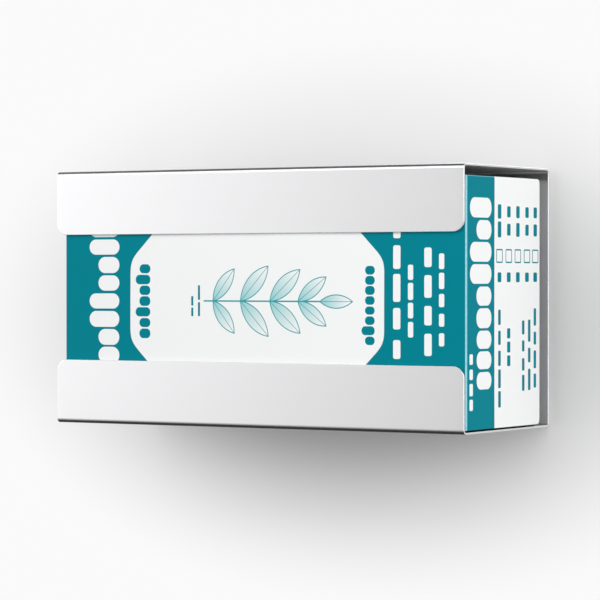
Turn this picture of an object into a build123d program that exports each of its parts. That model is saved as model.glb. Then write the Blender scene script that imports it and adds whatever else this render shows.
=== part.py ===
from build123d import *
import os

# Wall holder for a carton of disposable gloves, with one closed carton in it.
# +Z is up, the open front faces -Y and the back plate goes against the wall at +Y.
# The origin is the middle of the holder's underside. All sizes are in millimetres.

# ---- Holder: one stainless steel sheet with four folds, open at both ends ----
holder_width = 248.0             # along X, from one open end to the other
holder_depth = 95.0              # along Y, over the back plate and the lips
holder_height = 135.0            # along Z, over the top and bottom plates
sheet_thickness = 1.0
inner_bend_radius = 1.5
lip_height = 34.0                # each front lip, measured over its fold
lip_corner_radius = 6.0          # the free corners of the lips, cut round in the flat blank
edge_break = 0.2                 # rounding of the sheet's cut edges, as a share of its thickness

# ---- Four screw holes in the back plate ----
screw_hole_diameter = 5.0
screw_hole_end_distance = 39.0   # hole centre to the open end
screw_hole_fold_distance = 27.5  # hole centre to the outside of the top or bottom plate

# ---- Carton: folded board, lying on its long side on the bottom plate ----
board_thickness = 0.5
carton_fold_radius = 1.0
carton_play = 0.1                # between the carton's folds and the inside of the sheet's bends
space_behind_carton = 10.2       # room for the screw heads
space_above_carton = 4.6         # room to slide the carton in
carton_inset_left = 4.5          # the carton's end to the holder's open end
carton_inset_right = 0.0         # flush, as the carton is pushed home

# ---- Closing flap, glued over each end of the carton ----
flap_setback = 1.5               # the flap's free edge to the carton's rear face
flap_side_gap = 0.6              # the flap's long edges to the carton's top and bottom
flap_corner_radius = 2.5

# ---- Sizes that follow ----
outer_bend_radius = inner_bend_radius + sheet_thickness
window_height = holder_height - 2 * lip_height
screw_spacing_x = holder_width - 2 * screw_hole_end_distance
screw_spacing_z = holder_height - 2 * screw_hole_fold_distance

front_clearance = max(inner_bend_radius - carton_fold_radius, 0) + carton_play
carton_front = -holder_depth / 2 + sheet_thickness + front_clearance
carton_back = holder_depth / 2 - sheet_thickness - space_behind_carton
carton_bottom = sheet_thickness
carton_top = holder_height - sheet_thickness - space_above_carton
carton_left = -holder_width / 2 + carton_inset_left
carton_right = holder_width / 2 - carton_inset_right


def block(low, high):
    """A box given by its lowest and highest corners."""
    size = Vector(*high) - Vector(*low)
    middle = (Vector(*high) + Vector(*low)) / 2
    return Pos(*middle) * Box(size.X, size.Y, size.Z)


def folded_section():
    """The sheet's section across X: a tube with round corners, open between the two lips."""
    with BuildSketch(Plane.YZ) as section:
        with Locations((0, holder_height / 2)):
            RectangleRounded(holder_depth, holder_height, outer_bend_radius)
            RectangleRounded(
                holder_depth - 2 * sheet_thickness,
                holder_height - 2 * sheet_thickness,
                inner_bend_radius,
                mode=Mode.SUBTRACT,
            )
        with Locations((-holder_depth / 2, holder_height / 2)):
            Rectangle(2 * outer_bend_radius, window_height, mode=Mode.SUBTRACT)
    return section.sketch


def edges_through_sheet(shape):
    """The short straight edges that run through the thickness of the lips."""
    return shape.edges().filter_by(Axis.Y).filter_by(lambda edge: edge.length < 2 * sheet_thickness)


def break_cut_edges(holder):
    """Round the sheet's cut edges, all along the outline of the blank."""
    cut_faces = [face for face in holder.faces() if edges_through_sheet(face)]
    outline = [edge for face in cut_faces for edge in face.edges()]
    # An edge between two cut faces comes twice and stays sharp: it is where the outline goes on.
    borders = [edge for edge in outline if sum(edge.is_same(other) for other in outline) == 1]
    return holder.fillet(edge_break * sheet_thickness, borders)


def screw_holes():
    """Four round bars to cut from the back plate, in a rectangle about its middle."""
    back_plate = Plane((0, holder_depth / 2, holder_height / 2), x_dir=(1, 0, 0), z_dir=(0, -1, 0))
    with BuildSketch(back_plate) as pattern:
        with GridLocations(screw_spacing_x, screw_spacing_z, 2, 2):
            Circle(screw_hole_diameter / 2)
    return extrude(pattern.sketch, amount=2 * sheet_thickness)


def make_holder():
    """The folded sheet, with round lip corners, broken edges and four screw holes."""
    holder = extrude(folded_section(), amount=holder_width / 2, both=True)
    holder = fillet(edges_through_sheet(holder), lip_corner_radius)
    holder = break_cut_edges(holder)
    return holder - screw_holes()


def carton_body():
    """The closed carton without its closing flaps, with its folds rounded."""
    body = block(
        (carton_left + board_thickness, carton_front, carton_bottom),
        (carton_right - board_thickness, carton_back, carton_top),
    )
    return fillet(body.edges(), carton_fold_radius)


def closing_flaps():
    """The two flaps that fold round from the front panel over the carton's ends."""
    right = block(
        (carton_right - board_thickness - carton_fold_radius, carton_front, carton_bottom + flap_side_gap),
        (carton_right, carton_back - flap_setback, carton_top - flap_side_gap),
    )
    front_fold = right.edges().filter_by(Axis.Z).group_by(Axis.Y)[0].sort_by(Axis.X)[-1]
    right = fillet(front_fold, carton_fold_radius)
    free_corners = right.edges().filter_by(Axis.X).group_by(Axis.Y)[-1]
    right = fillet(free_corners, flap_corner_radius)
    carton_middle = Plane.YZ.offset((carton_left + carton_right) / 2)
    return right + mirror(right, about=carton_middle)


def make_carton():
    """The closed carton as one solid: the pack is sealed and can't be seen into."""
    return carton_body() + closing_flaps()


os.makedirs("parts", exist_ok=True)
export_step(make_holder(), "parts/holder.step")
export_step(make_carton(), "parts/glove_carton.step")
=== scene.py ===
# %% [markdown]
# # A steel wall holder with a carton of disposable gloves
# The real object is two pieces. The holder is one stainless steel sheet, cut flat with round corners
# and then folded four times on a press brake. The carton is printed folding board, glued shut, and it
# only stands in the holder. This script dresses the two solids of the CAD model: it makes each piece
# the way its maker does, flat first and folded afterwards, and then gives it its finish.

import math

import bmesh
import bpy
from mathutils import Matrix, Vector


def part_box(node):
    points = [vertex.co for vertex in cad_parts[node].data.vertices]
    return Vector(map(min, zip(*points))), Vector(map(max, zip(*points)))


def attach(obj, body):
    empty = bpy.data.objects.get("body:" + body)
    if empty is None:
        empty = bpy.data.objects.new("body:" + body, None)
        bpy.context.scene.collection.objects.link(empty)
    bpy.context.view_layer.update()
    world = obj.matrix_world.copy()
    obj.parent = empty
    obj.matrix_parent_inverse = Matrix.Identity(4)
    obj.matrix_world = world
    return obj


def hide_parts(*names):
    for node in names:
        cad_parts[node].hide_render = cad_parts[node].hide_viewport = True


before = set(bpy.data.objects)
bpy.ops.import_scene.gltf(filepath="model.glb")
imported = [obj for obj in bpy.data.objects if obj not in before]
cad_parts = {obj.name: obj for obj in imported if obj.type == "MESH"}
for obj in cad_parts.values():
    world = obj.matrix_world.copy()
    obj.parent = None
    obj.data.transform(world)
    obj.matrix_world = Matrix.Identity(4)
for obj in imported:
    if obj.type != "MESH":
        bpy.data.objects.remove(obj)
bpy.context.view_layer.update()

# %% [markdown]
# ## Sizes
# Everything is in metres. The outer sizes are read from the CAD solids, so that a piece made here
# always fits the one that it stands for. Only what a box can't tell is written down again: the
# thickness of the sheet and the board, and the radii of folds and corners.

# %% Sizes of the two pieces
MM = 0.001
RIGHT_ANGLE = math.pi / 2

holder_low, holder_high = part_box("holder")
holder_size = holder_high - holder_low
holder_middle = (holder_high + holder_low) / 2
sheet = 1.0 * MM
bend_radius = 2.5 * MM          # outside of the folds
lip_height = 34.0 * MM
lip_corner = 6.0 * MM
edge_break = 0.2 * MM
screw_hole_radius = 2.5 * MM
screw_spacing = (170.0 * MM, 80.0 * MM)

carton_low, carton_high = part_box("glove_carton")
carton_size = carton_high - carton_low
carton_middle = (carton_high + carton_low) / 2
board = 0.5 * MM
carton_fold = 1.0 * MM
flap_setback = 0.1 * MM         # the closing flap's free edge to the carton's rear
flap_rise = 1.0 * MM            # its upper edge over the start of the top fold
tube_setback = 3.0 * MM         # the tube's cut edges to the outside of the flap
bottom_setback = 10.0 * MM      # and that of the bottom panel
flap_corner = 2.5 * MM
print("holder", [round(side / MM, 1) for side in holder_size], "mm")
print("carton", [round(side / MM, 1) for side in carton_size], "mm")

# %% [markdown]
# ## Small helpers
# Node trees are long when each node takes four lines. These helpers add a node, feed its inputs with
# plain values or with the outputs of other nodes, and hand back the output, so that a formula in a
# tree can be read from left to right.

# %% Helpers for node trees
def feed(tree, socket, value):
    """Puts a value, or the output of another node, into an input."""
    if isinstance(value, bpy.types.NodeSocket):
        tree.links.new(value, socket)
    else:
        socket.default_value = value


def add(tree, kind, inputs=None, **settings):
    """Adds a node with its settings and inputs."""
    node = tree.nodes.new(kind)
    for name, value in settings.items():
        setattr(node, name, value)
    for key, value in (inputs or {}).items():
        feed(tree, node.inputs[key], value)
    return node


def calc(tree, operation, *values):
    """One Math node, as its output."""
    return add(tree, "ShaderNodeMath", dict(enumerate(values)), operation=operation).outputs[0]


def vector(tree, operation, *values):
    """One Vector Math node, as its output: a number for a dot product or a length."""
    node = add(tree, "ShaderNodeVectorMath", operation=operation)
    for place, value in enumerate(values):
        feed(tree, node.inputs["Scale" if operation == "SCALE" and place == 1 else place], value)
    return node.outputs["Value" if operation in ("DOT_PRODUCT", "LENGTH") else "Vector"]


def clamped(tree, value, factor, plus=0.0):
    """value * factor + plus, held between 0 and 1."""
    return add(tree, "ShaderNodeMath", {0: value, 1: factor, 2: plus},
               operation="MULTIPLY_ADD", use_clamp=True).outputs[0]


def ramp(tree, value, start, end, low, high):
    """A smooth step from low to high, while the value goes from start to end."""
    return add(tree, "ShaderNodeMapRange", {0: value, 1: start, 2: end, 3: low, 4: high},
               interpolation_type="SMOOTHSTEP").outputs[0]


def noise(tree, position, scale, detail):
    """The value of a noise texture."""
    return add(tree, "ShaderNodeTexNoise", {"Vector": position, "Scale": scale, "Detail": detail}).outputs[0]


def split(tree, value):
    """The three parts of a vector."""
    return add(tree, "ShaderNodeSeparateXYZ", {0: value}).outputs


def join(tree, x=0.0, y=0.0, z=0.0):
    """A vector from three parts."""
    return add(tree, "ShaderNodeCombineXYZ", {0: x, 1: y, 2: z}).outputs[0]


# %% [markdown]
# A node group is a tree with inputs and outputs of its own, which other trees can use many times. The
# next two helpers make an empty group from a short list of its sockets, and place a group in a tree.

# %% Helpers for node groups
SOCKETS = {"g": "NodeSocketGeometry", "v": "NodeSocketVector", "f": "NodeSocketFloat",
           "m": "NodeSocketMaterial"}


def new_group(name, kind, inputs, outputs):
    """An empty node group. Inputs and outputs are lists of (name, letter of SOCKETS)."""
    tree = bpy.data.node_groups.new(name, kind)
    for way, sockets in (("INPUT", inputs), ("OUTPUT", outputs)):
        for label, letter in sockets:
            tree.interface.new_socket(label, in_out=way, socket_type=SOCKETS[letter])
    start = tree.nodes.new("NodeGroupInput").outputs
    end = tree.nodes.new("NodeGroupOutput").inputs
    return tree, start, end


def use_group(tree, group, inputs):
    """Places a node group in a tree and gives its outputs."""
    kind = "GeometryNodeGroup" if group.bl_idname == "GeometryNodeTree" else "ShaderNodeGroup"
    node = add(tree, kind, node_tree=group)
    for key, value in inputs.items():
        feed(tree, node.inputs[key], value)
    return node.outputs


print("kinds of sockets:", ", ".join(kind.removeprefix("NodeSocket") for kind in SOCKETS.values()))

# %% [markdown]
# ## One fold, as a formula
# A press brake bends a flat sheet along a line. Seen in the plane across the fold, a point lies at a
# distance *d* past the line and at a height *h* over the outer skin. While *d* is within the arc, the
# point turns about the bend's axis. Past the arc it stays straight and stands at a right angle. Points
# before the line don't move. The same formula folds the steel and the board, so it is a node
# group of its own, with the line, the directions and the radius as inputs.

# %% Geometry node group: fold_round
def make_fold_round():
    """Bends what lies past a line round a quarter circle, and leaves the rest where it is."""
    tree, given, made = new_group(
        "fold_round", "GeometryNodeTree",
        [("Geometry", "g"), ("Fold Start", "v"), ("Along", "v"), ("Inward", "v"), ("Outer Radius", "f")],
        [("Geometry", "g")],
    )
    radius = given["Outer Radius"]
    position = add(tree, "GeometryNodeInputPosition").outputs[0]
    reach = vector(tree, "SUBTRACT", position, given["Fold Start"])
    past = vector(tree, "DOT_PRODUCT", reach, given["Along"])
    height = vector(tree, "DOT_PRODUCT", reach, given["Inward"])
    angle = calc(tree, "DIVIDE", past, radius)
    turn = calc(tree, "MINIMUM", calc(tree, "MAXIMUM", angle, 0.0), RIGHT_ANGLE)
    straight = calc(tree, "SUBTRACT", past, calc(tree, "MULTIPLY", radius, turn))
    lever = calc(tree, "SUBTRACT", radius, height)
    sine, cosine = calc(tree, "SINE", turn), calc(tree, "COSINE", turn)
    new_past = calc(tree, "MULTIPLY_ADD", lever, sine, calc(tree, "MULTIPLY", straight, cosine))
    drop = calc(tree, "MULTIPLY_ADD", straight, sine, radius)
    new_height = calc(tree, "SUBTRACT", drop, calc(tree, "MULTIPLY", lever, cosine))
    moved = vector(
        tree, "ADD",
        vector(tree, "SCALE", given["Along"], calc(tree, "SUBTRACT", new_past, past)),
        vector(tree, "SCALE", given["Inward"], calc(tree, "SUBTRACT", new_height, height)),
    )
    place = add(tree, "GeometryNodeSetPosition", {"Geometry": given["Geometry"], "Offset": moved})
    tree.links.new(place.outputs[0], made["Geometry"])
    return tree


fold_round = make_fold_round()
print("fold_round has", len(fold_round.nodes), "nodes")

# %% [markdown]
# ## A flat blank
# Steel and board both start as a flat shape with a thickness. The outline is drawn as points, filled,
# and pushed through to its thickness, and the steel's cut edges are broken, as they are after cutting. A fold
# needs rows of points to bend at, so the blank is sliced across each fold, at even steps of its arc.
# A subdivided plane would do too, but it would lose the round corners and the holes. Every point
# keeps its flat position as an attribute, because a carton is printed while it still lies flat.

# %% Outlines
def arc_points(centre, radius, start, sweep, steps):
    """Points along an arc in the plane, both ends included."""
    angles = [start + sweep * step / steps for step in range(steps + 1)]
    return [(centre[0] + radius * math.cos(a), centre[1] + radius * math.sin(a)) for a in angles]


def rounded_outline(low, high, radii, steps=10):
    """A rectangle's outline. radii are its corners' radii, from low-low and then anticlockwise."""
    corners = [(low[0], low[1], 1, 1), (high[0], low[1], -1, 1),
               (high[0], high[1], -1, -1), (low[0], high[1], 1, -1)]
    points = []
    for quarter, ((x, y, to_x, to_y), radius) in enumerate(zip(corners, radii)):
        start = math.pi + quarter * RIGHT_ANGLE
        if radius:
            points += arc_points((x + to_x * radius, y + to_y * radius), radius, start, RIGHT_ANGLE, steps)
        else:
            points.append((x, y))
    return points


# %% Flat blanks, cut and sliced
def add_loop(mesh, points, outer_y):
    """A closed ring of edges in the XZ plane."""
    ring = [mesh.verts.new((x, outer_y, z)) for x, z in points]
    return [mesh.edges.new((ring[i - 1], ring[i])) for i in range(len(ring))]


def flat_blank(name, outline, holes, outer_y, inward, thickness, broken, slices):
    """A flat plate in the XZ plane, from outer_y inwards, with its outline's edges broken by a bevel.
    slices are (point, normal) of each cut."""
    mesh = bmesh.new()
    rim = add_loop(mesh, outline, outer_y)
    rings = [edge for hole in holes for edge in add_loop(mesh, hole, outer_y)]
    bmesh.ops.triangle_fill(mesh, edges=rim + rings, use_beauty=True)
    pushed = bmesh.ops.extrude_face_region(mesh, geom=mesh.faces[:])["geom"]
    bmesh.ops.translate(mesh, verts=[v for v in pushed if isinstance(v, bmesh.types.BMVert)],
                        vec=(0, inward * thickness, 0))
    bmesh.ops.recalc_face_normals(mesh, faces=mesh.faces[:])
    if broken:
        inside = {round(v.co.x, 7) for edge in rings for v in edge.verts}
        sharp = [edge for edge in mesh.edges
                 if edge.calc_face_angle(0) > RIGHT_ANGLE / 2
                 and abs(edge.verts[0].co.y - edge.verts[1].co.y) < broken
                 and round(edge.verts[0].co.x, 7) not in inside]
        bmesh.ops.bevel(mesh, geom=sharp, offset=broken, segments=3, profile=0.5, affect="EDGES")
    for point, normal in slices:
        bmesh.ops.bisect_plane(mesh, geom=mesh.verts[:] + mesh.edges[:] + mesh.faces[:],
                               plane_co=point, plane_no=normal)
    data = bpy.data.meshes.new(name)
    mesh.to_mesh(data)
    mesh.free()
    flat = data.attributes.new("flat", "FLOAT_VECTOR", "POINT")
    flat.data.foreach_set("vector", [part for vertex in data.vertices for part in vertex.co])
    return data


def new_piece(name, data):
    """An object for a mesh, in the scene."""
    piece = bpy.data.objects.new(name, data)
    bpy.context.scene.collection.objects.link(piece)
    return piece


# %% [markdown]
# ## Folding a blank with Geometry Nodes
# The folds of one sheet follow each other as strokes of the brake do: the outermost fold first, since
# the press can't reach it later. Each stroke is the same group with its own line.

# %% Geometry node tree for one folded sheet
AXES = {"+X": (1, 0, 0), "-X": (-1, 0, 0), "+Y": (0, 1, 0),
        "-Y": (0, -1, 0), "+Z": (0, 0, 1), "-Z": (0, 0, -1)}


def make_folding_tree(name, strokes):
    """strokes are (label of the fold, axis along the sheet, axis inwards), in the order of folding."""
    tree, given, made = new_group(
        name, "GeometryNodeTree",
        [("Geometry", "g"), ("Outer Radius", "f"), ("Material", "m")]
        + [(label, "v") for label, _, _ in strokes],
        [("Geometry", "g")],
    )
    shape = given["Geometry"]
    for label, along, inward in strokes:
        shape = use_group(tree, fold_round, {
            "Geometry": shape, "Fold Start": given[label], "Along": AXES[along], "Inward": AXES[inward],
            "Outer Radius": given["Outer Radius"],
        })[0]
    shape = add(tree, "GeometryNodeRealizeInstances", {0: shape}).outputs[0]
    finished = add(tree, "GeometryNodeSetMaterial", {"Geometry": shape, "Material": given["Material"]})
    tree.links.new(finished.outputs[0], made["Geometry"])
    return tree


def fold_blank(name, blank, tree, values):
    """Folds a blank with a tree and gives the folded sheet as an object of its own."""
    flat = new_piece(name + "_flat", blank)
    folding = flat.modifiers.new("folding", "NODES")
    folding.node_group = tree
    for item in tree.interface.items_tree:
        if item.in_out == "INPUT" and item.name in values:
            folding[item.identifier] = values[item.name]
    smooth = flat.modifiers.new("even_flats", "WEIGHTED_NORMAL")
    smooth.keep_sharp = True
    for face in blank.polygons:
        face.use_smooth = True
    blank.set_sharp_from_angle(angle=math.radians(50))
    ready = bpy.data.meshes.new_from_object(flat.evaluated_get(bpy.context.evaluated_depsgraph_get()))
    bpy.data.objects.remove(flat)
    ready.name = name
    return new_piece(name, ready)


def slices_over(start, radius, axis, sign, steps):
    """Cuts across one fold: (point, normal) at even steps of its arc."""
    normal = tuple(float(axis == n) for n in range(3))
    cuts = []
    for step in range(steps + 1):
        point = [0.0, 0.0, 0.0]
        point[axis] = start + sign * radius * RIGHT_ANGLE * step / steps
        cuts.append((tuple(point), normal))
    return cuts

# %% [markdown]
# ## The steel sheet, cut flat
# The developed length follows from the outer skin: each fold takes a quarter circle of it. From the
# middle of the back plate the sheet runs up to the top fold, over the top plate, round the lip fold
# and down the lip, and the same way downwards. The four outer corners of the blank are cut round,
# because they end as the free corners of the lips, where hands reach in for a glove.

# %% Blank of the holder
quarter = bend_radius * RIGHT_ANGLE
back_reach = holder_size.z / 2 - bend_radius
plate_reach = back_reach + quarter + holder_size.y - 2 * bend_radius
lip_reach = plate_reach + quarter + lip_height - bend_radius
middle_x, middle_z = holder_middle.x, holder_middle.z

outline = rounded_outline(
    (holder_low.x, middle_z - lip_reach), (holder_high.x, middle_z + lip_reach), [lip_corner] * 4, steps=12)
holes = [
    arc_points((middle_x + side * screw_spacing[0] / 2, middle_z + level * screw_spacing[1] / 2),
               screw_hole_radius, 0, 2 * math.pi, 48)[:-1]
    for side in (-1, 1) for level in (-1, 1)
]
slices = []
for sign in (-1, 1):
    for reach in (back_reach, plate_reach):
        slices += slices_over(middle_z + sign * reach, bend_radius, 2, sign, 14)
holder_blank = flat_blank("holder_blank", outline, holes, holder_high.y, -1, sheet, edge_break, slices)
print("flat sheet", round(holder_size.x / MM), "x", round(2 * lip_reach / MM, 1), "mm,",
      len(holder_blank.polygons), "faces")

# %% [markdown]
# ## Satin steel
# The sheet is stainless steel with a fine satin finish, drawn along its length. It mirrors its
# surroundings softly. The finish is in a group of its own: grain that is long along the sheet and
# narrow across it gives a slightly uneven roughness and a very shallow relief. The metal itself stays
# in the material.

# %% Shader group: satin_grain
# Waves to the metre along the sheet and in the two directions across it.
FINE_GRAIN = (9.0, 900.0, 900.0)
WIDE_GRAIN = (3.0, 60.0, 60.0)


def make_satin_grain():
    """Fine grain for the roughness and the relief, and wide bands for the roughness alone."""
    tree, given, made = new_group(
        "satin_grain", "ShaderNodeTree",
        [("Position", "v"), ("Roughness", "f"), ("Variation", "f"), ("Relief", "f")],
        [("Roughness", "f"), ("Normal", "v")],
    )
    drawn = vector(tree, "MULTIPLY", given["Position"], FINE_GRAIN)
    grain = noise(tree, drawn, 1.0, 2.0)
    wide = vector(tree, "MULTIPLY", given["Position"], WIDE_GRAIN)
    both = calc(tree, "SUBTRACT", calc(tree, "ADD", grain, noise(tree, wide, 1.0, 1.0)), 1.0)
    uneven = calc(tree, "MULTIPLY_ADD", both, given["Variation"], given["Roughness"])
    tree.links.new(uneven, made["Roughness"])
    bump = add(tree, "ShaderNodeBump", {"Strength": given["Relief"], "Distance": 0.0001, "Height": grain})
    tree.links.new(bump.outputs[0], made["Normal"])
    return tree


satin_grain = make_satin_grain()
print("satin_grain has", len(satin_grain.nodes), "nodes")

# %% Satin steel
def new_material(name):
    """A material with a Principled BSDF, its tree and its object coordinates."""
    material = bpy.data.materials.new(name)
    material.use_nodes = True
    tree = material.node_tree
    principled = next(node for node in tree.nodes if node.type == "BSDF_PRINCIPLED")
    place = add(tree, "ShaderNodeTexCoord").outputs["Object"]
    return material, tree, principled, place


STEEL = (0.78, 0.78, 0.79, 1.0)

steel, tree, principled, place = new_material("satin_steel")
finish = use_group(tree, satin_grain, {
    "Position": place, "Roughness": 0.25, "Variation": 0.03, "Relief": 0.006,
})
feed(tree, principled.inputs["Base Color"], STEEL)
feed(tree, principled.inputs["Metallic"], 1.0)
feed(tree, principled.inputs["Roughness"], finish["Roughness"])
feed(tree, principled.inputs["Normal"], finish["Normal"])

# %% [markdown]
# ## The holder, folded
# Two strokes turn the lips, and two more turn the top and bottom plates up to the back plate.

# %% Fold the holder
steel_folding = make_folding_tree("fold_steel_sheet", [
    ("Upper Lip Fold", "+Z", "-Y"), ("Lower Lip Fold", "-Z", "-Y"),
    ("Top Fold", "+Z", "-Y"), ("Bottom Fold", "-Z", "-Y"),
])
holder = fold_blank("steel_holder", holder_blank, steel_folding, {
    "Outer Radius": bend_radius,
    "Material": steel,
    "Upper Lip Fold": (0.0, holder_high.y, middle_z + plate_reach),
    "Lower Lip Fold": (0.0, holder_high.y, middle_z - plate_reach),
    "Top Fold": (0.0, holder_high.y, middle_z + back_reach),
    "Bottom Fold": (0.0, holder_high.y, middle_z - back_reach),
})
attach(holder, "root")
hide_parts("holder")
print("holder:", len(holder.data.polygons), "faces, box", [round(v / MM, 2) for v in holder.dimensions])

# %% [markdown]
# ## Printing the board
# A carton is printed flat, so its print is drawn here over the flat sheet, in millimetres from the
# middle of the front panel. Each shape is a distance field: a formula that is negative inside the
# shape and grows with the distance outside it. A threshold turns it into ink, a band round zero into
# an outline. The print is a generic one: fields of teal and white, rows of plain blocks where a
# product would carry its words, a row of capsules where it would carry its name, and a sprig.

# %% Ink from distances
EDGE_SHARPNESS = 8.0            # the ink's edge is an eighth of a millimetre wide


def threshold(tree, distance, band=None):
    """Ink inside a shape, or in a band of the given half width round its border."""
    if band is not None:
        distance = calc(tree, "SUBTRACT", calc(tree, "ABSOLUTE", distance), band)
    return clamped(tree, distance, -EDGE_SHARPNESS, 0.5)


def paint(tree, under, colour, mask):
    """A colour laid over another where the mask is 1."""
    mix = add(tree, "ShaderNodeMix", data_type="RGBA")
    feed(tree, mix.inputs[0], mask)
    feed(tree, mix.inputs[6], under)
    feed(tree, mix.inputs[7], colour)
    return mix.outputs[2]


# %% Shader group: ink_box
def make_ink_box():
    """Distance to a rectangle with round corners."""
    tree, given, made = new_group(
        "ink_box", "ShaderNodeTree",
        [("Along", "f"), ("Across", "f"), ("Half Length", "f"), ("Half Height", "f"), ("Corner", "f")],
        [("Distance", "f")],
    )
    sides = []
    for place, half in (("Along", "Half Length"), ("Across", "Half Height")):
        inner = calc(tree, "SUBTRACT", given[half], given["Corner"])
        sides.append(calc(tree, "SUBTRACT", calc(tree, "ABSOLUTE", given[place]), inner))
    outside = vector(tree, "LENGTH", vector(tree, "MAXIMUM", join(tree, *sides), (0.0, 0.0, 0.0)))
    inside = calc(tree, "MINIMUM", calc(tree, "MAXIMUM", *sides), 0.0)
    distance = calc(tree, "SUBTRACT", calc(tree, "ADD", outside, inside), given["Corner"])
    tree.links.new(distance, made["Distance"])
    return tree


ink_box = make_ink_box()
print("ink_box has", len(ink_box.nodes), "nodes")

# %% Shader group: ink_leaf
def make_ink_leaf():
    """Distance to a leaf with two points: what two equal circles have in common."""
    tree, given, made = new_group(
        "ink_leaf", "ShaderNodeTree",
        [("Along", "f"), ("Across", "f"), ("Half Length", "f"), ("Half Width", "f")],
        [("Distance", "f")],
    )
    squares = [calc(tree, "MULTIPLY", given[name], given[name]) for name in ("Half Length", "Half Width")]
    half_sum = calc(tree, "MULTIPLY", calc(tree, "ADD", *squares), 0.5)
    radius = calc(tree, "DIVIDE", half_sum, given["Half Width"])
    offset = calc(tree, "SUBTRACT", radius, given["Half Width"])
    side = calc(tree, "ADD", calc(tree, "ABSOLUTE", given["Across"]), offset)
    reach = vector(tree, "LENGTH", join(tree, given["Along"], side))
    tree.links.new(calc(tree, "SUBTRACT", reach, radius), made["Distance"])
    return tree


ink_leaf = make_ink_leaf()
print("ink_leaf has", len(ink_leaf.nodes), "nodes")

# %% [markdown]
# A row of words is a row of blocks with uneven lengths. A White Noise node gives each block three
# numbers between 0 and 1 from its place in the row and the row's seed, so they are the same each time.
# The first sets its length, the second whether it is a low one, the third whether it is printed.

# %% Shader group: ink_blocks
LONGEST = 0.92                  # the longest block, as a share of the pitch of its row
LOW_PART = 0.6                  # this part of the blocks is low, where a row has low ones
DICE_PLANE = 3.7                # the third coordinate of the noise, the same for all rows


def make_ink_blocks():
    """A row of blocks of uneven length and height, like words seen from far. Filled is the part of
    the blocks that is printed, Low Share is the height of the low ones."""
    tree, given, made = new_group(
        "ink_blocks", "ShaderNodeTree",
        [("Along", "f"), ("Across", "f"), ("From", "f"), ("To", "f"), ("Middle", "f"), ("Height", "f"),
         ("Pitch", "f"), ("Shortest", "f"), ("Corner", "f"), ("Low Share", "f"), ("Filled", "f"),
         ("Seed", "f")],
        [("Mask", "f")],
    )
    start = calc(tree, "SUBTRACT", given["Along"], given["From"])
    number = calc(tree, "FLOOR", calc(tree, "DIVIDE", start, given["Pitch"]))
    centre = calc(tree, "MULTIPLY", calc(tree, "ADD", number, 0.5), given["Pitch"])
    dice = add(tree, "ShaderNodeTexWhiteNoise", {"Vector": join(tree, number, given["Seed"], DICE_PLANE)},
               noise_dimensions="3D").outputs["Color"]
    first, second, third = split(tree, dice)
    spread = calc(tree, "SUBTRACT", LONGEST, given["Shortest"])
    share = calc(tree, "MULTIPLY_ADD", first, spread, given["Shortest"])
    half_length = calc(tree, "MULTIPLY", calc(tree, "MULTIPLY", given["Pitch"], share), 0.5)
    is_low = calc(tree, "GREATER_THAN", second, 1 - LOW_PART)
    cut = calc(tree, "MULTIPLY", is_low, calc(tree, "SUBTRACT", 1.0, given["Low Share"]))
    half_share = calc(tree, "SUBTRACT", 0.5, calc(tree, "MULTIPLY", cut, 0.5))
    half_height = calc(tree, "MULTIPLY", half_share, given["Height"])
    shift = calc(tree, "SUBTRACT", calc(tree, "MULTIPLY", given["Height"], 0.5), half_height)
    across = calc(tree, "SUBTRACT", calc(tree, "SUBTRACT", given["Across"], given["Middle"]), shift)
    corner = calc(tree, "MINIMUM", given["Corner"], calc(tree, "MINIMUM", half_length, half_height))
    distance = use_group(tree, ink_box, {
        "Along": calc(tree, "SUBTRACT", start, centre), "Across": across,
        "Half Length": half_length, "Half Height": half_height, "Corner": corner,
    })[0]
    mask = threshold(tree, distance)
    length = calc(tree, "SUBTRACT", given["To"], given["From"])
    last = calc(tree, "FLOOR", calc(tree, "DIVIDE", length, given["Pitch"]))
    for limit in (calc(tree, "GREATER_THAN", number, -0.5),
                  calc(tree, "LESS_THAN", number, calc(tree, "SUBTRACT", last, 0.5)),
                  calc(tree, "LESS_THAN", third, given["Filled"])):
        mask = calc(tree, "MULTIPLY", mask, limit)
    tree.links.new(mask, made["Mask"])
    return tree


ink_blocks = make_ink_blocks()
print("ink_blocks has", len(ink_blocks.nodes), "nodes")

# %% [markdown]
# ## The layout of the print
# All the shapes stand in tables, so that another carton needs other numbers only. The front panel has
# a teal ground with a white field, whose corners are cut at 45 degrees and softened. The closing
# flaps at the ends are white, with the teal ground of the front carried round the fold as a band. On
# the flaps a row of open tick boxes stands for the glove sizes.

# %% Tables of the print, in millimetres from the middle of the front panel
TEAL = (0.0003, 0.218, 0.275, 1.0)
WHITE = (0.90, 0.91, 0.91, 1.0)
LINE = (0.03, 0.34, 0.37, 1.0)
LEAF_TINT = (0.22, 0.58, 0.60, 1.0)
# The light line along the front folds: ink cracked by the fold, with a painted highlight on the round fold.
CRACKED_INK_AND_HIGHLIGHT = (0.40, 0.74, 0.84, 1.0)
GREY_BOARD = (0.30, 0.29, 0.27, 1.0)

FIELD_MIDDLE = (-1.75, 0.7)
FIELD_HALF = (77.4, 46.0)
FIELD_SLANT = 98.6              # x plus z along the slanting corners
FIELD_SOFTNESS = 6.0            # how far the corners are rounded
BAND_END = 31.4                 # the teal band on a flap, from the front fold

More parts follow.
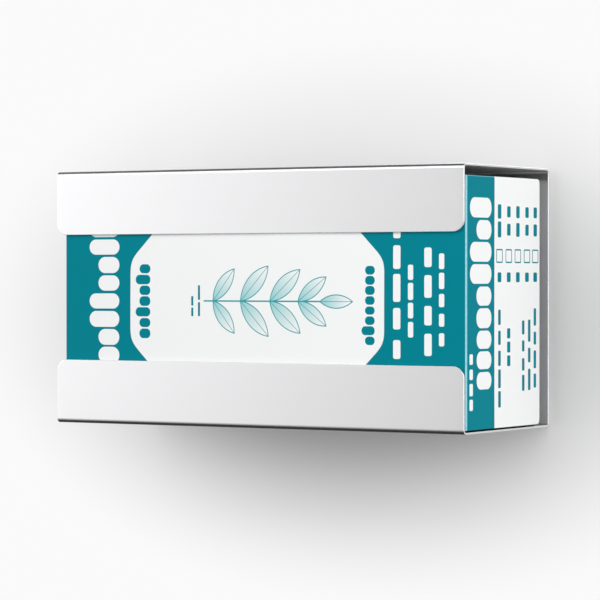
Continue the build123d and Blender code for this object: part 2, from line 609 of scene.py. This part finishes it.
# (from, to, middle, height, pitch, shortest, corner, low share, filled)
FRONT_WHITE = [
    (-62.0, 62.0, -96.1, 19.4, 9.6, 0.82, 4.4, 0.7, 1.0),
    (-62.0, 62.0, 82.9, 4.2, 15.5, 0.6, 1.1, 1.0, 1.0),
    (-18.0, 20.4, 90.8, 3.0, 9.6, 0.6, 0.9, 1.0, 1.0),
    (-28.0, 30.5, 100.7, 4.2, 14.6, 0.6, 1.1, 1.0, 1.0),
    (-23.0, 26.0, 108.4, 3.0, 9.8, 0.6, 0.9, 1.0, 1.0),
]
FRONT_TEAL = [
    (-19.5, 20.5, -71.1, 9.4, 5.7, 0.8, 2.4, 0.74, 1.0),
    (-21.6, 24.2, 66.4, 7.6, 5.1, 0.8, 2.1, 0.74, 1.0),
    (-8.0, 9.4, -40.0, 1.3, 5.8, 0.6, 0.5, 1.0, 1.0),
    (-8.0, 9.4, -35.8, 1.3, 8.7, 0.7, 0.5, 1.0, 1.0),
]
# On the flaps the second direction is the distance from the front fold.
FLAP_COLUMNS = (37.0, 47.3, 57.5, 67.8, 77.2)
FLAP_WHITE = [
    (-44.0, -13.0, 20.1, 16.0, 10.3, 0.84, 4.6, 1.0, 1.0),
    (-13.0, 54.0, 16.5, 23.2, 11.1, 0.84, 4.8, 0.7, 1.0),
    (-54.5, -24.0, 6.2, 3.6, 7.6, 0.65, 0.9, 1.0, 1.0),
]
FLAP_TEAL = (
    [(32.8, 51.0, middle, 3.9, 9.1, 0.55, 0.9, 1.0, 1.0) for middle in FLAP_COLUMNS]
    + [(10.2, 16.0, middle, 4.2, 5.8, 0.8, 0.9, 1.0, 1.0) for middle in FLAP_COLUMNS]
    + [(-54.0, -2.0, 37.0, 2.9, 10.4, 0.6, 0.8, 1.0, 1.0),
       (-33.0, -12.0, 47.3, 3.6, 7.0, 0.65, 0.9, 1.0, 1.0),
       (-46.0, -8.0, 63.6, 2.8, 9.5, 0.6, 0.8, 1.0, 1.0),
       (-46.0, -8.0, 70.4, 2.8, 12.6, 0.6, 0.8, 1.0, 1.0),
       (-46.0, -2.0, 76.9, 2.8, 11.0, 0.6, 0.8, 1.0, 1.0),
       (-54.6, -49.0, 64.0, 5.2, 5.6, 0.9, 0.6, 1.0, 1.0)]
)
TICK_BOX_LEVEL, TICK_BOX_HALF, TICK_BOX_LINE = 23.9, 3.2, 0.35
# The sprig: the stem from, to and at a level, then (foot along the stem, turn in degrees, half length,
# half width) of each leaf.
STEM = (-33.0, 40.0, 0.7)
STEM_HALF = 0.4
LEAF_PAIRS = ((-27.0, 52, 10.6), (-10.0, 47, 12.4), (8.0, 42, 12.2), (25.0, 37, 10.4))
LEAVES = [(foot, sign * turn, half, half * 0.36) for foot, turn, half in LEAF_PAIRS for sign in (-1, 1)]
LEAVES.append((38.0, 0, 9.6, 3.4))
LEAF_RIM, LEAF_VEIN = 0.26, 0.16
print(len(FRONT_WHITE + FRONT_TEAL + FLAP_WHITE + FLAP_TEAL), "rows of blocks")

# %% [markdown]
# ## The printed board as a material
# The material reads the flat position that every point has kept. The other panels are white, so the
# ground ends just past the folds of the front panel. Inside the sheet's thickness there is no ink: cut
# edges and the inner side show the raw board. Along the front folds a thin light line is painted: partly
# ink cracked by the fold, partly a painted highlight where the round fold catches the light.

# %% Shader group: fold_wear_and_highlight
def make_fold_wear_and_highlight():
    """Cracked ink and a painted highlight along the folds of a carton: 1 on a fold, 0 away from it, broken up
    by noise.
    """
    tree, given, made = new_group(
        "fold_wear_and_highlight", "ShaderNodeTree",
        [("Position", "v"), ("Middle", "v"), ("Half Size", "v"), ("Width", "v"), ("Unevenness", "f")],
        [("Mask", "f")],
    )
    reach = vector(tree, "ABSOLUTE", vector(tree, "SUBTRACT", given["Position"], given["Middle"]))
    gap = vector(tree, "DIVIDE", vector(tree, "SUBTRACT", given["Half Size"], reach), given["Width"])
    # A side counts in full up to 0.6 of the width from it, and no more from the whole width on.
    near = [clamped(tree, part, -2.5, 2.5) for part in split(tree, gap)]
    pairs = [calc(tree, "MULTIPLY", near[a], near[b]) for a, b in ((0, 1), (1, 2), (0, 2))]
    wear_and_highlight = calc(tree, "MAXIMUM", calc(tree, "MAXIMUM", pairs[0], pairs[1]), pairs[2])
    around_zero = calc(tree, "SUBTRACT", noise(tree, given["Position"], 700.0, 2.0), 0.5)
    ragged = calc(tree, "MULTIPLY_ADD", around_zero, given["Unevenness"], 1.0)
    tree.links.new(clamped(tree, wear_and_highlight, ragged), made["Mask"])
    return tree


fold_wear_and_highlight = make_fold_wear_and_highlight()
print("fold_wear_and_highlight has", len(fold_wear_and_highlight.nodes), "nodes")

# %% Shader group: board_surface
def make_board_surface():
    """The slight unevenness of coated board, as a relief with broad waves and fine ones."""
    tree, given, made = new_group(
        "board_surface", "ShaderNodeTree", [("Position", "v"), ("Relief", "f")], [("Normal", "v")])
    fine = noise(tree, given["Position"], 260.0, 3.0)
    broad = noise(tree, given["Position"], 28.0, 1.0)
    height = calc(tree, "MULTIPLY_ADD", broad, 4.0, fine)
    bump = add(tree, "ShaderNodeBump", {"Strength": given["Relief"], "Distance": 0.0002, "Height": height})
    tree.links.new(bump.outputs[0], made["Normal"])
    return tree


board_surface = make_board_surface()
print("board_surface has", len(board_surface.nodes), "nodes")

# %% Places on the flat sheet
half_front = carton_size.x / 2
flap_fold_reach = half_front - carton_fold
flap_fold_end = flap_fold_reach + carton_fold * RIGHT_ANGLE
tube_corner = carton_fold * RIGHT_ANGLE
front_reach = carton_size.z / 2 - carton_fold
side_reach = front_reach + tube_corner + carton_size.y - 2 * carton_fold

printed_board, tree, principled, place = new_material("printed_board")
flat = add(tree, "ShaderNodeAttribute", attribute_name="flat").outputs["Vector"]
from_corner = vector(tree, "SUBTRACT", flat, (carton_middle.x, carton_low.y, carton_middle.z))
flat_x, flat_y, panel_z = split(tree, vector(tree, "SCALE", from_corner, 1 / MM))
to_side = calc(tree, "ABSOLUTE", flat_x)
away = calc(tree, "SUBTRACT", to_side, (flap_fold_end - carton_fold) / MM)
on_flap = calc(tree, "GREATER_THAN", to_side, (flap_fold_reach + tube_corner / 2) / MM)
print("fold lines of the front panel, in mm from its middle: x", round(flap_fold_reach / MM, 2),
      "and z", round(front_reach / MM, 2))

# %% Rows of blocks
ROW_INPUTS = ("From", "To", "Middle", "Height", "Pitch", "Shortest", "Corner", "Low Share", "Filled")


def blocks(along, across, rows, seed):
    """The mask of several rows of blocks."""
    mask = None
    for number, row in enumerate(rows):
        given = {"Along": along, "Across": across, "Seed": float(seed + number), **dict(zip(ROW_INPUTS, row))}
        one = use_group(tree, ink_blocks, given)[0]
        mask = one if mask is None else calc(tree, "MAXIMUM", mask, one)
    return mask


print("inputs of a row:", ", ".join(ROW_INPUTS))

# %% [markdown]
# The white field is a rectangle and a square stood on its corner, joined by a smooth maximum. Each
# leaf of the sprig turns the sheet's coordinates about its own middle, so that one formula draws all.

# %% The front panel
field_x, field_z = (calc(tree, "ABSOLUTE", calc(tree, "SUBTRACT", value, middle))
                    for value, middle in zip((flat_x, panel_z), FIELD_MIDDLE))
upright = calc(tree, "MAXIMUM", *(calc(tree, "SUBTRACT", value, half)
                                  for value, half in zip((field_x, field_z), FIELD_HALF)))
past_slant = calc(tree, "SUBTRACT", calc(tree, "ADD", field_x, field_z), FIELD_SLANT)
slanting = calc(tree, "MULTIPLY", past_slant, math.sqrt(0.5))
field = threshold(tree, calc(tree, "SMOOTH_MAX", upright, slanting, FIELD_SOFTNESS))

front = paint(tree, TEAL, WHITE, field)
front = paint(tree, front, TEAL, calc(tree, "MULTIPLY", blocks(panel_z, flat_x, FRONT_TEAL, 10), field))
sprig_z = calc(tree, "SUBTRACT", panel_z, STEM[2])
stem = use_group(tree, ink_box, {
    "Along": calc(tree, "SUBTRACT", flat_x, (STEM[0] + STEM[1]) / 2), "Across": sprig_z,
    "Half Length": (STEM[1] - STEM[0]) / 2, "Half Height": STEM_HALF, "Corner": STEM_HALF,
})[0]
front = paint(tree, front, LINE, threshold(tree, stem))
for foot, turn, half, width in LEAVES:
    angle = math.radians(turn)
    centre = (foot + half * math.cos(angle), half * math.sin(angle), 0.0)
    own = add(tree, "ShaderNodeVectorRotate", {
        "Vector": join(tree, flat_x, sprig_z), "Center": centre, "Angle": -angle,
    }, rotation_type="Z_AXIS").outputs[0]
    leaf_x, leaf_z, _ = split(tree, vector(tree, "SUBTRACT", own, centre))
    distance = use_group(tree, ink_leaf, {
        "Along": leaf_x, "Across": leaf_z, "Half Length": half, "Half Width": width,
    })[0]
    inside = threshold(tree, distance)
    toward_foot = clamped(tree, leaf_x, -0.5 / half, 0.42)
    front = paint(tree, front, paint(tree, WHITE, LEAF_TINT, toward_foot), inside)
    vein = threshold(tree, leaf_z, band=LEAF_VEIN)
    front = paint(tree, front, LINE, calc(tree, "MULTIPLY", inside, vein))
    front = paint(tree, front, LINE, threshold(tree, distance, band=LEAF_RIM))
front = paint(tree, front, WHITE, blocks(panel_z, flat_x, FRONT_WHITE, 30))
print("front panel:", len(FRONT_WHITE + FRONT_TEAL), "rows of blocks and", len(LEAVES), "leaves")

# %% The closing flaps
flap = paint(tree, WHITE, TEAL, calc(tree, "LESS_THAN", away, BAND_END))
flap = paint(tree, flap, WHITE, blocks(panel_z, away, FLAP_WHITE, 50))
flap = paint(tree, flap, TEAL, blocks(panel_z, away, FLAP_TEAL, 70))
for middle in FLAP_COLUMNS:
    distance = use_group(tree, ink_box, {
        "Along": calc(tree, "SUBTRACT", panel_z, TICK_BOX_LEVEL),
        "Across": calc(tree, "SUBTRACT", away, middle),
        "Half Length": TICK_BOX_HALF, "Half Height": TICK_BOX_HALF, "Corner": 0.4,
    })[0]
    flap = paint(tree, flap, TEAL, threshold(tree, distance, band=TICK_BOX_LINE))
print("closing flap:", len(FLAP_WHITE + FLAP_TEAL), "rows of blocks and", len(FLAP_COLUMNS), "tick boxes")

# %% All sides of the board together
INK_DEPTH = 0.06                # in millimetres, below it the board is bare
PRINT_ROUGHNESS, BARE_ROUGHNESS = 0.5, 0.8

printed = paint(tree, front, flap, on_flap)
front_end = (front_reach + tube_corner) / MM
past_front = calc(tree, "GREATER_THAN", calc(tree, "ABSOLUTE", panel_z), front_end)
printed = paint(tree, printed, WHITE, past_front)
# The front folds get a light line: partly ink cracked by the fold, partly a painted highlight on the round
# fold.
wear_and_highlight = use_group(tree, fold_wear_and_highlight, {
    "Position": place, "Middle": tuple(carton_middle), "Half Size": tuple(carton_size / 2),
    "Width": (0.35 * MM, 2.2 * MM, 0.6 * MM), "Unevenness": 0.9,
})[0]
at_front = calc(tree, "LESS_THAN", split(tree, place)[1], carton_middle.y)
most = calc(tree, "MULTIPLY", at_front, 0.9)
printed = paint(tree, printed, CRACKED_INK_AND_HIGHLIGHT, calc(tree, "MULTIPLY", wear_and_highlight, most))
bare = calc(tree, "GREATER_THAN", flat_y, INK_DEPTH)
printed = paint(tree, printed, GREY_BOARD, bare)
coating = use_group(tree, board_surface, {"Position": place, "Relief": 0.12})
feed(tree, principled.inputs["Base Color"], printed)
roughness = calc(tree, "MULTIPLY_ADD", bare, BARE_ROUGHNESS - PRINT_ROUGHNESS, PRINT_ROUGHNESS)
feed(tree, principled.inputs["Roughness"], roughness)
feed(tree, principled.inputs["Specular IOR Level"], 0.03)
feed(tree, principled.inputs["Normal"], coating["Normal"])
print("printed_board has", len(tree.nodes), "nodes")

# %% [markdown]
# ## The carton's blank
# One piece of board makes the front panel, the bottom, the top and the rear panel behind the top, and
# at both ends of the front panel a closing flap with round free corners. The panels of a full carton
# aren't flat: the gloves press them out a little, most in the middle, and the board dries unevenly.
# The closing flaps are glued down, a little hollow, and stay within the length of the holder.

# %% Blank of the carton
flap_reach = flap_fold_end + carton_size.y - carton_fold - flap_setback
tube_half = half_front - tube_setback
bottom_half = half_front - bottom_setback
bottom_end = front_reach + tube_corner + carton_size.y - carton_fold - board
rear_end = side_reach + tube_corner + carton_size.z - carton_fold


def flap_side(sign):
    """The outline of one closing flap, in the direction of the outline."""
    x = sign * (flap_reach - flap_corner)
    low, high = (x, flap_corner - front_reach), (x, front_reach + flap_rise - flap_corner)
    first, second = (low, high) if sign > 0 else (high, low)
    start = -sign * RIGHT_ANGLE
    return (arc_points(first, flap_corner, start, RIGHT_ANGLE, 8)
            + arc_points(second, flap_corner, start + RIGHT_ANGLE, RIGHT_ANGLE, 8))


shape = (
    [(-bottom_half, -bottom_end), (bottom_half, -bottom_end), (bottom_half, -front_reach)]
    + flap_side(1)
    + [(tube_half, front_reach + flap_rise), (tube_half, rear_end),
       (-tube_half, rear_end), (-tube_half, front_reach + flap_rise)]
    + flap_side(-1)
    + [(-bottom_half, -front_reach)]
)
outline = [(carton_middle.x + x, carton_middle.z + z) for x, z in shape]
slices = slices_over(carton_middle.z + side_reach, carton_fold, 2, 1, 6)
for sign in (-1, 1):
    slices += slices_over(carton_middle.z + sign * front_reach, carton_fold, 2, sign, 6)
    slices += slices_over(carton_middle.x + sign * flap_fold_reach, carton_fold, 0, sign, 6)
cell = 8 * MM                   # the panels need points inside them too, to swell
slices += [((carton_middle.x + step * cell, 0, 0), (1, 0, 0)) for step in range(-25, 26)]
slices += [((0, 0, carton_middle.z + step * cell), (0, 0, 1)) for step in range(-18, 34)]
carton_blank = flat_blank("carton_blank", outline, [], carton_low.y, 1, board, 0, slices)
print("flat board", round(2 * flap_reach / MM), "x", round((rear_end + bottom_end) / MM), "mm,",
      len(carton_blank.polygons), "faces")

# %% Swell of the panels
# (middle of the panel in the flat sheet, half its depth, how far it stands out)
SWELLS = [
    (0, front_reach, 0.5 * MM),
    ((front_reach + side_reach + tube_corner) / 2, carton_size.y / 2 - carton_fold, 0.5 * MM),
    ((side_reach + tube_corner + rear_end) / 2, front_reach, 0.4 * MM),
]
FLAP_HOLLOW = 0.12 * MM


def swell(x, z):
    """How far a full carton's panels stand out, at a place of the flat sheet."""
    for centre, half, height in SWELLS:
        across, along = (z - centre) / half, x / flap_fold_reach
        if abs(across) < 1 and abs(along) < 1:
            # Two slow waves make it uneven.
            wave = 1 + 0.25 * math.sin(x / 0.021 + z / 0.034) + 0.15 * math.sin(x / 0.0117 - z / 0.017 + 1)
            return height * (1 - across ** 2) * (1 - along ** 4) * wave
    along = (abs(x) - flap_fold_end) / (flap_reach - flap_fold_end)
    if 0 < along < 1 and abs(z) < front_reach:
        return -FLAP_HOLLOW * (1 - (2 * along - 1) ** 2) * (1 - (z / front_reach) ** 2)
    return 0.0


for vertex in carton_blank.vertices:
    vertex.co.y -= swell(vertex.co.x - carton_middle.x, vertex.co.z - carton_middle.z)
most_out = min(vertex.co.y for vertex in carton_blank.vertices)
print("the panels stand out by up to", round((carton_low.y - most_out) / MM, 2), "mm")

# %% [markdown]
# ## The carton, folded
# A fold moves everything past its line, so the bottom is folded before the rear panel hangs down past
# it, and the rear panel before the top one that carries it. The closing flaps come last, over the
# ends of the tube.

# %% Fold the carton
board_folding = make_folding_tree("fold_carton_board", [
    ("Bottom Fold", "-Z", "+Y"), ("Rear Fold", "+Z", "+Y"), ("Top Fold", "+Z", "+Y"),
    ("Right Flap Fold", "+X", "+Y"), ("Left Flap Fold", "-X", "+Y"),
])
carton = fold_blank("glove_box", carton_blank, board_folding, {
    "Outer Radius": carton_fold,
    "Material": printed_board,
    "Right Flap Fold": (carton_middle.x + flap_fold_reach, carton_low.y, 0.0),
    "Left Flap Fold": (carton_middle.x - flap_fold_reach, carton_low.y, 0.0),
    "Rear Fold": (0.0, carton_low.y, carton_middle.z + side_reach),
    "Top Fold": (0.0, carton_low.y, carton_middle.z + front_reach),
    "Bottom Fold": (0.0, carton_low.y, carton_middle.z - front_reach),
})
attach(carton, "root")
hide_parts("glove_carton")
print("carton box", [round(v / MM, 2) for v in carton.dimensions])

# %% [markdown]
# ## Inner flaps
# Under each closing flap lie the inner flaps, which close the tube. Only their rim can be seen, so one
# board a side stands for them. They are unprinted.

# %% Inner flaps at both ends
plain_board, tree, principled, place = new_material("plain_board")
coating = use_group(tree, board_surface, {"Position": place, "Relief": 0.2})
feed(tree, principled.inputs["Base Color"], GREY_BOARD)
feed(tree, principled.inputs["Roughness"], 0.8)
feed(tree, principled.inputs["Normal"], coating["Normal"])

inner_reach = tube_half - 0.6 * board
mesh = bmesh.new()
for sign in (-1, 1):
    inner = bmesh.ops.create_cube(mesh, size=1.0)["verts"]
    bmesh.ops.scale(mesh, verts=inner, vec=(board, carton_size.y - 2.4 * board, carton_size.z - 4 * MM))
    bmesh.ops.translate(mesh, verts=inner, vec=carton_middle + Vector((sign * inner_reach, 0, 0)))
data = bpy.data.meshes.new("carton_inner_flaps")
mesh.to_mesh(data)
mesh.free()
data.materials.append(plain_board)
inner_flaps = new_piece("carton_inner_flaps", data)
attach(inner_flaps, "root")
print("inner flaps box", [round(v / MM, 2) for v in inner_flaps.dimensions])

# %% [markdown]
# ## The wall behind
# The holder hangs on a wall, so a plain pale wall stands behind it and takes its shadow. It isn't
# part of the object. It fades out all round, and it has an opening behind the back plate, so that
# the holder can also be looked at from the back.

# %% Mesh of the wall
WALL_HALF = (0.9, 0.8)
WALL_GAP = 0.5 * MM
OPENING_INSET = 1.5 * MM


def make_wall():
    """A large plane behind the holder, facing forwards, with a rectangular opening."""
    mesh = bmesh.new()
    wall_y = holder_high.y + WALL_GAP
    edges = []
    for half_x, half_z in (WALL_HALF, (holder_size.x / 2 - OPENING_INSET, holder_size.z / 2 - OPENING_INSET)):
        turns = ((-1, -1), (1, -1), (1, 1), (-1, 1))
        edges += add_loop(mesh, [(middle_x + x * half_x, middle_z + z * half_z) for x, z in turns], wall_y)
    bmesh.ops.triangle_fill(mesh, edges=edges, normal=(0, -1, 0))
    for face in mesh.faces:
        if face.normal.y > 0:
            face.normal_flip()
    data = bpy.data.meshes.new("wall")
    mesh.to_mesh(data)
    mesh.free()
    return new_piece("wall", data)


wall = make_wall()
print("wall:", len(wall.data.polygons), "faces")

# %% Paint of the wall
WALL_GREY = (0.66, 0.66, 0.66, 1.0)
PURE_WHITE = (1.0, 1.0, 1.0, 1.0)
PAPER_WHITE = 0.96              # what the camera sees where the wall has faded out
FADE_MIDDLE = (middle_x + 0.010, 0.0, middle_z - 0.012)
FADE_SHAPE = (1.0, 0.0, 1.7)    # the fade comes nearer above and below than at the sides

wall_paint, tree, principled, place = new_material("wall_paint")
feed(tree, principled.inputs["Base Color"], WALL_GREY)
feed(tree, principled.inputs["Roughness"], 0.9)
feed(tree, principled.inputs["Specular IOR Level"], 0.1)
reach = vector(tree, "SUBTRACT", place, FADE_MIDDLE)
reach = vector(tree, "LENGTH", vector(tree, "MULTIPLY", reach, FADE_SHAPE))
fade = ramp(tree, reach, 0.09, 0.28, 0.0, 1.0)
behind = add(tree, "ShaderNodeNewGeometry").outputs["Backfacing"]
far = add(tree, "ShaderNodeEmission", {"Color": PURE_WHITE, "Strength": PAPER_WHITE}).outputs[0]
clear = add(tree, "ShaderNodeBsdfTransparent").outputs[0]
seen = add(tree, "ShaderNodeMixShader", {0: fade, 1: principled.outputs[0], 2: far}).outputs[0]
mixed = add(tree, "ShaderNodeMixShader", {0: behind, 1: seen, 2: clear})
wall_paint.cycles.emission_sampling = "NONE"    # the faded part is only looked at
output = next(node for node in tree.nodes if node.type == "OUTPUT_MATERIAL")
tree.links.new(mixed.outputs[0], output.inputs["Surface"])
wall.data.materials.append(wall_paint)
wall.visible_glossy = False
print("wall_paint has", len(tree.nodes), "nodes")

# %% [markdown]
# ## World and lamps
# A satin sheet shows what it faces, so the surroundings matter more to it than the lamps do. They are
# a pale room that is brighter at the front left, and darker under the holder and high behind it. The
# bright side gives the lips their slow fall of brightness along the sheet, the dark floor draws the
# dark line along the lower fold, and a wide lamp over the front draws the bright line along the upper
# one. A lamp at the right keeps the carton's end white. Towards the right and the back, mirrored rays
# meet mostly the plain pale background that the camera itself sees, so the steel belongs in its room.

# %% Surroundings
world = bpy.data.worlds.new("pale_room")
bpy.context.scene.world = world
world.use_nodes = True
tree = world.node_tree
background = next(node for node in tree.nodes if node.type == "BACKGROUND")
toward = add(tree, "ShaderNodeTexCoord").outputs["Generated"]
_, back, up = split(tree, toward)
left = vector(tree, "DOT_PRODUCT", toward, (-0.94, -0.34, 0.0))

# Each ramp says from where to where it goes, and then the strength before and after.
sides = calc(tree, "MULTIPLY", ramp(tree, left, 0.68, 0.90, 0.63, 1.73),
             ramp(tree, up, 0.06, 0.32, 1.0, 1.12))
ground = calc(tree, "MULTIPLY", ramp(tree, up, -0.32, 0.08, 0.55, 1.0),
              ramp(tree, up, -0.68, -0.46, 0.10, 1.0))
ceiling = calc(tree, "MULTIPLY", ramp(tree, up, 0.56, 0.76, 0.0, 0.88),
               ramp(tree, back, -0.45, -0.25, 0.0, 1.0))
room = calc(tree, "MULTIPLY", calc(tree, "MULTIPLY", sides, ground), calc(tree, "SUBTRACT", 1.0, ceiling))
path = add(tree, "ShaderNodeLightPath").outputs
mirrored = calc(tree, "ADD", path["Is Glossy Ray"], path["Is Transmission Ray"])
plain_side = ramp(tree, left, -0.25, 0.10, 0.7, 0.0)
shown = calc(tree, "MAXIMUM", path["Is Camera Ray"], calc(tree, "MULTIPLY", mirrored, plain_side))
strength = add(tree, "ShaderNodeMix", {0: shown, 2: room, 3: PAPER_WHITE}, data_type="FLOAT").outputs[0]
feed(tree, background.inputs["Color"], PURE_WHITE)
feed(tree, background.inputs["Strength"], strength)
print("pale_room has", len(tree.nodes), "nodes")

# %% Lamps
# (name, azimuth and elevation in degrees, distance, width and height, power)
LAMPS = [
    ("light_front", 20, 6, 1.8, (0.8, 0.8), 4.4),
    ("light_top", 2, 38, 1.3, (2.0, 0.6), 5.5),
    ("light_right", 74, 8, 1.6, (0.9, 1.0), 8),
    ("light_rear", 190, 30, 2.0, (1.2, 1.0), 10),
]


def soft_light(name, azimuth, elevation, distance, size, power):
    """A rectangular light aimed at the holder. Azimuth 0 is in front, 90 at the right."""
    a, e = math.radians(azimuth), math.radians(elevation)
    away = Vector((math.sin(a) * math.cos(e), -math.cos(a) * math.cos(e), math.sin(e)))
    data = bpy.data.lights.new(name, "AREA")
    data.shape = "RECTANGLE"
    data.size, data.size_y = size
    data.energy = power
    light = bpy.data.objects.new(name, data)
    bpy.context.scene.collection.objects.link(light)
    light.location = holder_middle + away * distance
    light.rotation_mode = "QUATERNION"
    light.rotation_quaternion = away.to_track_quat("Z", "Y")
    return light


for lamp in LAMPS:
    print(soft_light(*lamp).name, "gives", lamp[-1], "W")

# %% [markdown]
# ## Camera
# A long lens from a good step away keeps the edges of the holder nearly parallel, and shows the front
# with the reach-in opening and the right end of the carton.

# %% Camera and view
CAMERA_PLACE = (0.8065, -1.3341, 0.0791)
CAMERA_TILT, CAMERA_TURN = -0.475, 31.143       # degrees: a little downwards, and to the left

lens = bpy.data.cameras.new("camera")
lens.lens, lens.sensor_width = 176.0, 36.0
lens.clip_start, lens.clip_end = 0.05, 20.0
camera = bpy.data.objects.new("camera", lens)
bpy.context.scene.collection.objects.link(camera)
camera.location = CAMERA_PLACE
camera.rotation_euler = (math.radians(90 + CAMERA_TILT), 0.0, math.radians(CAMERA_TURN))
bpy.context.scene.camera = camera
bpy.context.scene.view_settings.view_transform = "Standard"
print("camera at", round((Vector(CAMERA_PLACE) - holder_middle).length, 2), "m from the holder's middle")
